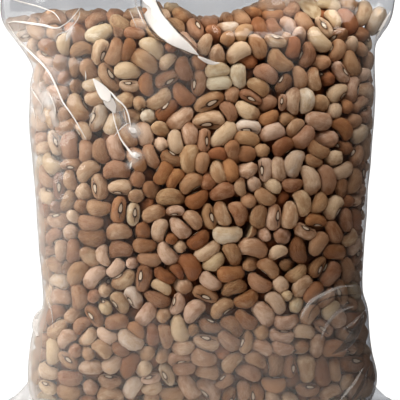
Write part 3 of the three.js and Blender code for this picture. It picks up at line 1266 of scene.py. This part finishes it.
    def relax(self, taut: Array, reach: Array) -> Array:
        """Lets the film sink between the beans that hold it out.

        Args:
            taut: the points of the taut film.
            reach: how far the beans reach at each point.

        Returns:
            How far each point lies outside the taut film.
        """
        lift = np.zeros(reach.shape)
        held = value_at(BeanPacking.heap_top, taut[..., 0])
        sink = self.sink * smooth(held - taut[..., 2], *self.top_sinks)
        sink *= smooth(taut[..., 2], *self.foot_sinks)
        least = np.where(reach < self.free_below, self.free_lift, reach + self.clearance)
        for _ in range(self.rounds):
            padded = np.concatenate([lift[:1], lift, lift[-1:]])
            around = np.roll(lift, 1, 1) + np.roll(lift, -1, 1)
            mean = (padded[:-2] + padded[2:] + around) / 4
            lift = np.maximum(mean - sink, least)
        return lift

    def straighten(self, taut: Array, lift: Array) -> Array:
        """Draws the film straight along both sides, clear of the beans there.

        Args:
            taut: the points of the taut film.
            lift: how far each point lies outside it.

        Returns:
            The lift with the sides straightened.
        """
        half_width = self.form.half_width(taut[..., 0], taut[..., 2])
        side = smooth(np.abs(taut[..., 0]) / half_width, self.side_from, self.side_to)
        straight = lift
        for join in (np.max, np.mean):
            padded = np.pad(straight, ((self.side_rows // 2,) * 2, (0, 0)), mode="edge")
            windows = np.lib.stride_tricks.sliding_window_view(padded, self.side_rows, axis=0)
            straight = join(windows, axis=-1)
        return lift + (straight - lift) * side

    def nearness(self, crease: Crease, taut: Array) -> Array:
        """Returns 1 on a crease's line, falling to 0 away from it, at each point of the film."""
        path = np.array(crease.path)
        flat = taut[..., [0, 2]]
        distance = np.full(flat.shape[:2], 1e3)
        for start, end in zip(path[:-1], path[1:]):
            way = end - start
            share = np.clip(((flat - start) @ way) / (way @ way), 0, 1)
            distance = np.minimum(distance, np.linalg.norm(flat - start - share[..., None] * way, axis=-1))
        return np.exp(-((distance / crease.width) ** 2)) * (taut[..., 1] < 0)

    def gathers(self, taut: Array) -> Array:
        """Returns the upright folds of the empty film between the beans and the top seal."""
        x, z = taut[..., 0], taut[..., 2]
        seal_from = self.form.height - self.form.seal_height
        rise = smooth(z, *self.gather_from) * (1 - smooth(z, self.gather_to, seal_from))
        waves = sum(high * np.sin(x * along + z * up + start) for high, along, up, start in self.gather_waves)
        return rise * waves * self.gather_lift * np.where(taut[..., 1] < 0, 1, self.back_gather)

    def above_heap(self, points: Array) -> Array:
        """Returns 0 beside the beans and 1 above the heap, at each point."""
        return smooth(points[..., 2] - value_at(BeanPacking.heap_top, points[..., 0]), *self.header_from)

    def veil(self, taut: Array) -> Array:
        """Returns how milky the film is at each point, from 0 to 1, with painted sheen on the left and in
        some patches.
        """
        x = taut[..., 0]
        from_edge = self.form.half_width(x, taut[..., 2]) - np.abs(x)
        edge_veil, fades_over = np.where(x > 0, *self.edge_veils), np.where(x > 0, *self.edge_veil_widths)
        empty = self.above_heap(taut)
        veil = edge_veil * np.exp(-from_edge / fades_over) * (1 - empty)
        veil += self.left_veil * smooth(x, *self.left_veil_from)
        patches = [haze.veil * haze.share(taut) for haze in self.hazes]
        return np.maximum.reduce([veil, self.header_veil * empty, *patches])

    def shade(self, points: Array) -> Array:
        """Returns how grey the film is at each point: where it is doubled, and towards the right, where the
        grey is partly painted shade.
        """
        from_right = np.maximum(self.form.read("right", points[:, 2]) - points[:, 0], 0)
        right = value_at(self.right_shades, points[:, 2]) * np.exp(-from_right / self.right_shade_width)
        patches = [haze.shade * haze.share(points) for haze in self.hazes]
        return np.maximum.reduce([right, self.header_shade * self.above_heap(points), *patches])


@dataclass(frozen=True)
class Fold:
    """A doubled ribbon of film on the front, milky white partly as a painted highlight: rows of x, z and half
    its width.
    """

    path: Table
    height: float = 0.35
    # how white: partly creased film, partly painted highlight
    veil: float = 0.9
    shade: float = 0.0


@dataclass
class FilmFolds:
    """The folds that stand on the film, their white partly creased film and partly painted highlight."""

    steps: int = 40
    sides: int = 12
    clearance: float = 0.15
    steepest: float = 1.2
    evened: int = 7
    edge_from: float = 0.9
    edge_veil_share: float = 0.3
    # edge_shade greys each fold's edges: painted shade along their rims
    edge_shade: float = 0.5
    folds: tuple[Fold, ...] = (
        Fold(((-20.6, 162, 1.3), (-19.9, 157, 1.9), (-19.1, 152.4, 2.5), (-18.1, 148.4, 3.1),
              (-16.3, 144.5, 3.3), (-13.2, 140.6, 3.3), (-9.6, 137.2, 2.7), (-5.4, 134.4, 1.7),
              (-2.6, 132.5, 0.9), (-0.4, 131, 0.1)), height=0.8, veil=0.97),
        # The next two are thin dark outlines on each side of the white fold above: painted shade.
        Fold(((-23.2, 158, 0.1), (-21.9, 152.4, 0.16), (-21.5, 148.4, 0.18), (-20, 144.1, 0.2),
              (-16.3, 138, 0.2), (-11.5, 136, 0.16), (-6.4, 133, 0.14),
              (-1, 130.6, 0.08)), veil=0.02, shade=0.7),
        Fold(((-17.8, 158, 0.1), (-16.4, 152.4, 0.18), (-14.9, 149.1, 0.2), (-12.7, 144.9, 0.22),
              (-8.4, 140.2, 0.22), (-4.5, 136.6, 0.18), (0.1, 131.9, 0.08)), veil=0.02, shade=0.8),
        Fold(((-24.2, 154, 0.1), (-23.2, 149.4, 0.3), (-21.9, 146.1, 0.3),
              (-20.3, 142.4, 0.1)), veil=0.7),
        Fold(((-26, 148.4, 0.08), (-24.6, 145, 0.2), (-23.1, 141.3, 0.08)), veil=0.45),
        Fold(((-0.7, 130.6, 0.3), (1.9, 129.2, 0.8), (4.8, 128.2, 0.7), (7.2, 128.3, 0.1)), veil=0.65),
        Fold(((-70.9, 143.4, 0.1), (-68.1, 139.2, 0.3), (-65.9, 136.2, 0.4), (-61, 131.4, 0.5),
              (-56.6, 126.9, 0.45), (-54, 122.8, 0.35), (-51.8, 118, 0.35), (-50, 114, 0.3),
              (-47.1, 110, 0.3), (-44, 105, 0.22), (-41.4, 100.3, 0.08))),
        Fold(((-69.6, 152.6, 0.1), (-65.9, 151.5, 0.3), (-61, 150.2, 0.28), (-56.6, 148.6, 0.25),
              (-53.7, 147.3, 0.2), (-51.8, 145, 0.16), (-51.2, 143.4, 0.06))),
        Fold(((-71, 143.8, 0.1), (-68.5, 144.2, 0.25), (-62.9, 143.5, 0.45), (-57.4, 142.6, 0.5),
              (-52.5, 141.4, 0.3), (-49.6, 142.8, 0.2), (-47.4, 144.7, 0.2), (-45.1, 147.6, 0.2),
              (-44.2, 149, 0.06))),
        Fold(((-44.2, 148.6, 0.06), (-44.4, 145.8, 0.16), (-46.3, 142.5, 0.16), (-48.8, 140.2, 0.16),
              (-51.8, 139.1, 0.16), (-53.3, 137.4, 0.06)), veil=0.6),
        Fold(((-46.6, 142.5, 0.2), (-47.4, 140.4, 0.6), (-48.4, 138.4, 0.6),
              (-49, 136.5, 0.1)), veil=0.4),
        Fold(((-41.9, 125.5, 0.06), (-41.7, 123.7, 0.22), (-41.8, 122, 0.06)), veil=0.8),
        Fold(((-39, 122.6, 0.2), (-37.6, 120.9, 1.1), (-35.8, 118.5, 2.0), (-34.2, 116.2, 2.1),
              (-33, 114.2, 0.5)), height=0.5, veil=0.96),
        Fold(((-35.2, 117.2, 0.3), (-33.6, 114.8, 1.9), (-32, 112.4, 1.7), (-31, 109.8, 0.2)), veil=0.45),
        Fold(((-35.4, 119.6, 0.1), (-32.6, 117.7, 0.3), (-30.3, 115.1, 0.4), (-28.1, 113.2, 0.3),
              (-26.6, 110.9, 0.3), (-25.6, 107.3, 0.28), (-25.2, 104.9, 0.06)), veil=0.88),
        Fold(((-28, 112, 0.06), (-27.2, 108.8, 0.16), (-26.7, 105.1, 0.06)), veil=0.6),
        Fold(((-32.4, 112.8, 0.06), (-31.5, 108.8, 0.2), (-30.5, 105.1, 0.22), (-28.9, 100.8, 0.3),
              (-27, 98, 0.35), (-25.4, 95.9, 0.45), (-23.4, 94, 0.5), (-22.2, 93.2, 0.1))),
        Fold(((-31.4, 101.4, 0.06), (-30, 103.2, 0.2), (-27.4, 105.6, 0.22),
              (-25.4, 106.6, 0.06)), veil=0.5),
        Fold(((-25.8, 104.6, 0.2), (-24.3, 103.7, 1.2), (-22.8, 102.8, 0.2)), veil=0.8),
        Fold(((-25.4, 95.4, 0.2), (-23.5, 94.7, 1.1), (-21.8, 94.5, 0.2)), veil=0.88),
        Fold(((-25.4, 89.8, 0.1), (-25.1, 91, 0.4), (-24.8, 92.2, 0.1)), veil=0.8),
        Fold(((-62.6, 121, 0.08), (-61.4, 118.4, 0.3), (-59.8, 116, 0.3), (-58, 113.2, 0.08)), veil=0.55),
        Fold(((-58.6, 109, 0.06), (-57.6, 112, 0.26), (-57.9, 115, 0.06)), veil=0.5),
        Fold(((-55.6, 118.4, 0.06), (-54, 115, 0.28), (-52.9, 111.4, 0.3),
              (-53.2, 107.6, 0.06)), veil=0.5),
        Fold(((-62, 112.6, 0.08), (-60.9, 110.6, 0.36), (-60.6, 107.8, 0.08)), veil=0.4),
        Fold(((36.8, 35.6, 0.2), (38.2, 38.6, 0.5), (40.8, 41.8, 0.6), (45.8, 44.5, 0.5),
              (51, 46.6, 0.4), (57, 47, 0.1)), veil=0.22),
        # The folds with little milk and a grey tint, here and below, are partly doubled film and partly
        # painted shade.
        Fold(((39.4, 35.2, 0.1), (41, 38.8, 0.3), (44.4, 41.6, 0.3), (50.4, 43.4, 0.3),
              (57, 43.6, 0.1)), veil=0.02, shade=0.35),
        Fold(((44, 27.4, 0.1), (46, 32.6, 0.6), (50, 37.2, 0.6), (56, 39.4, 0.1)), veil=0.16),
        Fold(((52, 31, 0.1), (56, 33.4, 0.5), (60.4, 37.6, 0.1)), veil=0.14),
        Fold(((48, 22, 0.1), (53, 25, 1.4), (57, 30, 1.6), (60, 36, 0.3)), veil=0.05, shade=0.4),
        Fold(((50.7, 4.4, 0.2), (53.7, 8.1, 0.5), (57, 12.2, 0.5), (60, 17, 0.1)), veil=0.26),
        Fold(((54.8, 4.4, 0.2), (58.8, 9.6, 0.7), (62.2, 17, 0.1)), veil=0.04, shade=0.5),
        Fold(((-57.7, 38.8, 0.2), (-60, 35.1, 1.3), (-60.3, 31.4, 1.5), (-59.6, 28.1, 0.4)), veil=0.5),
        Fold(((-56.2, 43, 0.1), (-54.4, 37.4, 0.3), (-53.7, 31.4, 0.1)), veil=0.3),
        Fold(((70.4, 148, 0.1), (68.4, 144.5, 0.5), (66, 140.2, 0.5), (64.6, 137.4, 0.1)), veil=0.55),
        # a thin dark line beside the fold above: painted shade
        Fold(((64.7, 139.6, 0.06), (66.6, 141.2, 0.2), (68.6, 142.6, 0.06)), veil=0.02, shade=1.0),
    )

    def build(self, skin: FilmSkin) -> Object:
        """Makes every fold as one piece.

        Args:
            skin: the film that the folds stand on.

        Returns:
            The piece.
        """
        angle = np.arange(self.sides) / self.sides * 2 * math.pi
        is_edge = np.abs(np.cos(angle)) > self.edge_from
        points, faces, veils, shades = [], [], [], []
        for fold in self.folds:
            line, half_width = self.line_on(skin, fold)
            along = unit(np.gradient(line, axis=0))
            across = unit(np.cross(along, FORWARD))
            outward = np.cross(across, along)
            height = np.minimum(half_width * self.steepest, fold.height)
            swell = height[:, None] * (0.5 + 0.5 * np.sin(angle))
            rings = line[:, None] + across[:, None] * (half_width[:, None] * np.cos(angle))[..., None]
            rings = rings + outward[:, None] * (self.clearance + swell)[..., None]
            made = loft(self.steps, self.sides, self.steps * self.sides * len(points))
            faces += [(face[0], *face[:0:-1]) for face in made[:-2]] + [cap[::-1] for cap in made[-2:]]
            points.append(rings.reshape(-1, 3))
            veils.append(np.tile(np.where(is_edge, self.edge_veil_share, 1) * fold.veil, self.steps))
            shades.append(np.tile(np.maximum(is_edge * fold.veil * self.edge_shade, fold.shade), self.steps))
        obj = mesh_object("film_folds", np.concatenate(points), faces)
        store(obj.data, veil=np.concatenate(veils), shade=np.concatenate(shades))
        return obj

    def line_on(self, skin: FilmSkin, fold: Fold) -> tuple[Array, Array]:
        """Lays a fold's line on the film.

        Args:
            skin: the film.
            fold: the fold.

        Returns:
            The points of its middle line, and half its width at each.
        """
        rows = np.array(fold.path)
        legs = np.linalg.norm(np.diff(rows[:, :2], axis=0), axis=1)
        along = np.concatenate([[0], np.cumsum(legs)])
        table = np.column_stack([along, rows])
        spots = np.linspace(0, along[-1], self.steps)
        x, z, half_width = (value_at(table, spots, column) for column in (1, 2, 3))
        y = np.pad(skin.depth_at(x, z), self.evened // 2, mode="edge")
        y = np.convolve(y, np.ones(self.evened) / self.evened, "valid")
        return np.column_stack([x, y, z]), half_width


@dataclass(frozen=True)
class FilmFinish:
    """Thin clear film: it mirrors at a slant, and is milky where it is creased or stands off. Some of its
    milk is painted highlight and sheen, and some of its grey tint painted shade.
    """

    milk: Colour = (0.85, 0.83, 0.805)
    clear: Colour = (0.985, 0.985, 0.985)
    shaded: Colour = (0.45, 0.47, 0.50)
    gloss: Colour = (0.95, 0.95, 0.95)
    head_on_mirror: float = 0.025
    mirror_roughness: float = 0.1
    milk_roughness: float = 0.35
    wrinkle: float = 0.6  # how deep, in millimetres
    wrinkle_strength: float = 0.5
    milkiest: float = 0.95
    streak_scale: float = 90.0
    streak_stretch: Triple = (1.0, 1.0, 0.35)
    streak_edge: Range = (0.3, 0.75)
    ripple_scale: float = 160.0
    ripple_stretch: Triple = (1.0, 1.0, 0.5)
    least_ripple: float = 0.15

    def material(self, name: str) -> Material:
        """Makes the material.

        Args:
            name: the material's name.

        Returns:
            The material.
        """
        t = Tree.material(name)
        seen = t.outputs(t.add("ShaderNodeGroup", {"Veil": t.attribute("veil")}, node_tree=self.marks()))
        wrinkles = {"Distance": self.wrinkle * MM, "Height": seen["Height"]}
        normal = t.wire("ShaderNodeBump", {"Strength": self.wrinkle_strength} | wrinkles)
        facing = t.wire("ShaderNodeLayerWeight", {"Blend": 0.5, "Normal": normal}, "Facing")
        mirror = facing**5.0 * (1 - self.head_on_mirror) + self.head_on_mirror
        # the grey tint follows the shade attribute: doubled film, and painted shade in places
        tint = t.blend(t.attribute("shade"), self.clear, self.shaded)
        clear = t.wire("ShaderNodeBsdfTransparent", {"Color": tint})
        shine = {"Color": self.gloss, "Roughness": self.mirror_roughness, "Normal": normal}
        film = t.mixed(mirror, clear, t.wire("ShaderNodeBsdfGlossy", shine))
        milky = t.coat(self.milk, self.milk_roughness, Normal=normal)
        return t.finish(t.mixed(seen["Haze"], film, milky))

    def marks(self) -> NodeTree:
        """Builds the group that gives the film its streaky haze and fine wrinkles."""
        t = Tree.group("film marks", "ShaderNodeTree", {"Veil": ("Float", 0.0)})
        veil, place = t.given["Veil"], t.place()
        streaks = t.step(t.noise(place * self.streak_stretch, self.streak_scale, 3.0), *self.streak_edge)
        ripples = t.noise(place * self.ripple_stretch, self.ripple_scale)
        haze = t.math("MINIMUM", veil * (streaks * 0.5 + 0.75), self.milkiest)
        return t.give("Float", {"Haze": haze, "Height": ripples * (veil * 2.0 + self.least_ripple)})


@dataclass
class FilmEars:
    """The two dog ears of the bottom seal, folded out at table level."""

    stations: Table = ((46, 18, 13), (61.5, 14, 9.5), (66, 8.6, 6.5), (70.5, 5, 3.6), (74, 1.6, 1.0))
    rings: int = 22
    arch_steps: int = 14
    arch_power: float = 0.9
    wave: float = 0.3
    base_share: float = 0.9
    # The right ear is greyer and less milky than the left: painted shade on the side turned from the light,
    # and the left ear's milk partly painted light.
    right_veil: float = 0.08
    left_veil: float = 0.32
    right_shade: float = 0.53
    left_shade: float = 0.2

    def build(self) -> Object:
        """Makes both ears as one piece."""
        out = np.linspace(self.stations[0][0], self.stations[-1][0], self.rings)
        heights, half_depths = value_at(self.stations, out), value_at(self.stations, out, 2)
        share = np.linspace(-1, 1, self.arch_steps)
        arch = (1 - np.abs(share)) ** self.arch_power
        points, faces = [], []
        for side in (-1, 1):
            made = loft(self.rings, 2 * self.arch_steps - 2, len(points))
            faces += [face[::-1] for face in made] if side < 0 else made
            for x, top, half in zip(out, heights, half_depths):
                lift = np.maximum(top * arch + self.wave * np.sin(share * 9 + x * 0.8) * arch, 0)
                points += [(side * x, y * half, z) for y, z in zip(share, lift)]
                points += [(side * x, y * half * self.base_share, 0.0) for y in share[-2:0:-1]]
        points = np.array(points)
        obj = mesh_object("film_ears", points, faces)
        on_right = points[:, 0] > 0
        veil = np.where(on_right, self.right_veil, self.left_veil)
        store(obj.data, veil=veil, shade=np.where(on_right, self.right_shade, self.left_shade))
        return obj


@dataclass
class TopSeal:
    """The crimped band of the top seal: fine ribs pressed into both faces."""

    form: BagForm
    ribs: int = 6
    rib_radius: float = 0.35
    rib_scale: Triple = (1.0, 1.9, 1.0)
    sides: int = 8
    segments: int = 24
    end_gap: float = 1.0
    veil: float = 0.35
    shade: float = 0.26

    def sizes(self) -> dict[str, tuple[str, float]]:
        """Returns the socket type and the value of each of the tree's inputs, in metres."""
        spacing = self.form.seal_height / self.ribs
        lowest = self.form.height - self.form.seal_height + spacing / 2
        return {
            "Count": ("Int", self.ribs),
            "Spacing": ("Float", spacing * MM),
            "Length": ("Float", (self.form.flat_width - self.end_gap) * MM),
            "Radius": ("Float", self.rib_radius * MM),
            "Lowest": ("Float", lowest * MM),
        }

    def build(self, material: Material) -> Object:
        """Makes the ribs by Geometry Nodes, as a plain mesh."""
        obj = mesh_object("seal_ribs", np.zeros((1, 3)), [])
        sizes = {name: value for name, (_, value) in self.sizes().items()}
        grow(obj, self.tree(), sizes | {"Material": material})
        count = len(obj.data.vertices)
        store(obj.data, veil=np.full(count, self.veil), shade=np.full(count, self.shade))
        return obj

    def tree(self) -> NodeTree:
        """Builds the Geometry Nodes that stack the ribs."""
        inputs = {"Geometry": ("Geometry", None), **self.sizes(), "Material": ("Material", None)}
        t = Tree.group("seal ribs", "GeometryNodeTree", inputs)
        given = t.given
        start, offset = t.joined(0.0, 0.0, given["Lowest"]), t.joined(0.0, 0.0, given["Spacing"])
        stack = {"Count": given["Count"], "Start Location": start, "Offset": offset}
        line = t.wire("GeometryNodeMeshLine", stack)
        round_bar = {"Vertices": self.sides, "Side Segments": self.segments, "Radius": given["Radius"]}
        bar = t.wire("GeometryNodeMeshCylinder", round_bar | {"Depth": given["Length"]})
        turned = {"Geometry": bar, "Rotation": (0.0, math.pi / 2, 0.0), "Scale": self.rib_scale}
        laid = t.wire("GeometryNodeTransform", turned)
        return t.dress(t.wire("GeometryNodeSetShadeSmooth", {0: t.spread(line, laid)}))


@dataclass
class Film:
    """All of the bag's film: the skin, the folds, the dog ears and the top seal."""

    form: BagForm

    def build(self, beans: Beans) -> None:
        """Makes each piece of film and dresses it."""
        material = FilmFinish().material("clear film")
        skin = FilmSkin(self.form)
        for obj in (skin.build(beans), FilmFolds().build(skin), FilmEars().build()):
            obj.data.materials.append(material)
            place_piece(obj)
        place_piece(TopSeal(self.form).build(material))


# The studio


@dataclass(frozen=True)
class Lamp:
    """A round soft lamp."""

    place: Triple
    size: float
    watts: float
    colour: Colour = (1.0, 0.97, 0.935)


@dataclass
class Studio:
    """The pale floor, the soft lights and the camera that looks level at the front."""

    frame_width: float = 148.0
    camera_distance: float = 1400.0
    camera_height: float = 78.4
    sensor: float = 36.0
    sees_to: float = 10.0  # in metres
    floor_size: float = 1600.0
    floor_greys: tuple[Colour, Colour] = ((0.86, 0.86, 0.86), (0.9, 0.9, 0.9))
    floor_roughness: float = 0.7
    lamps: dict[str, Lamp] = field(
        default_factory=lambda: {
            "key": Lamp(place=(-330.0, -150.0, 300.0), size=380.0, watts=1.95),
            "top": Lamp(place=(72.0, -80.0, 250.0), size=110.0, watts=0.2),
        }
    )
    bright_side: Triple = (-0.45, 0.72, 0.53)
    glow_from: float = -0.1
    wall: Colour = (0.19, 0.181, 0.17)
    room: Colour = (0.048, 0.021, 0.010)
    white_floor_from: float = 70.0
    white_floor_to: float = 140.0

    def build(self) -> None:
        """Sets the studio up."""
        self.floor()
        self.light()
        self.sky()
        self.camera()

    def floor(self) -> None:
        """Lays the floor, which is plain white to the camera away from the bag."""
        corners = np.array([(-1, -1, 0), (1, -1, 0), (1, 1, 0), (-1, 1, 0)]) * self.floor_size / 2
        obj = mesh_object("floor", corners, [(0, 1, 2, 3)])
        t = Tree.material("pale floor")
        place = t.place()
        colour = t.blend(t.noise(place, 30.0, 3.0), *self.floor_greys)
        x, y, _ = t.parts(place)
        out = t.math("SQRT", x * x + y * y)
        far = t.step(out, self.white_floor_from * MM, self.white_floor_to * MM)
        white = t.wire("ShaderNodeEmission", {"Color": WHITE, "Strength": 1.0})
        floor = t.mixed(far * t.to_camera(), t.coat(colour, self.floor_roughness), white)
        obj.data.materials.append(t.finish(floor))

    def light(self) -> None:
        """Hangs the soft key light high on the left and a small one above the right shoulder."""
        for name, lamp in self.lamps.items():
            data = bpy.data.lights.new(name, "AREA")
            data.shape = "DISK"
            data.size = lamp.size * MM
            data.energy = lamp.watts
            data.color = lamp.colour
            obj = bpy.data.objects.new(name, data)
            obj.location = Vector(lamp.place) * MM
            aim = Vector((0, 0, self.camera_height * MM)) - obj.location
            obj.rotation_euler = aim.to_track_quat("-Z", "Y").to_euler()
            bpy.context.scene.collection.objects.link(obj)

    def sky(self) -> None:
        """Fills the room with soft light and shows white behind the bag."""
        world = bpy.data.worlds.new("studio")
        world.use_nodes = True
        world.node_tree.nodes.clear()
        t = Tree(world.node_tree)
        white = t.wire("ShaderNodeBackground", {"Color": WHITE, "Strength": 1.0})
        ways = {0: t.wire("ShaderNodeTexCoord", output="Generated"), 1: self.bright_side}
        towards = t.wire("ShaderNodeVectorMath", ways, "Value", operation="DOT_PRODUCT")
        glow = t.blend(t.step(towards, self.glow_from, 1.0), self.room, self.wall)
        fill = t.wire("ShaderNodeBackground", {"Color": glow, "Strength": 1.0})
        t.add("ShaderNodeOutputWorld", {"Surface": t.mixed(t.to_camera(), fill, white)})
        scene = bpy.context.scene
        scene.world = world
        scene.view_settings.view_transform = "Standard"
        scene.view_settings.look = "Medium High Contrast"

    def camera(self) -> None:
        """Stands the camera level in front of the bag."""
        data = bpy.data.cameras.new("camera")
        data.sensor_width = self.sensor
        data.lens = self.sensor * self.camera_distance / self.frame_width
        data.clip_end = self.sees_to
        obj = bpy.data.objects.new("camera", data)
        obj.location = (0, -self.camera_distance * MM, self.camera_height * MM)
        obj.rotation_euler = (math.pi / 2, 0, 0)
        bpy.context.scene.collection.objects.link(obj)
        bpy.context.scene.camera = obj


def main() -> None:
    """Builds the bag and its studio."""
    logging.basicConfig(level=logging.INFO, format="%(name)s: %(message)s")
    form = BagForm()
    Film(form).build(BeanHeap(form).build())
    Studio().build()


if __name__ == "__main__":
    main()
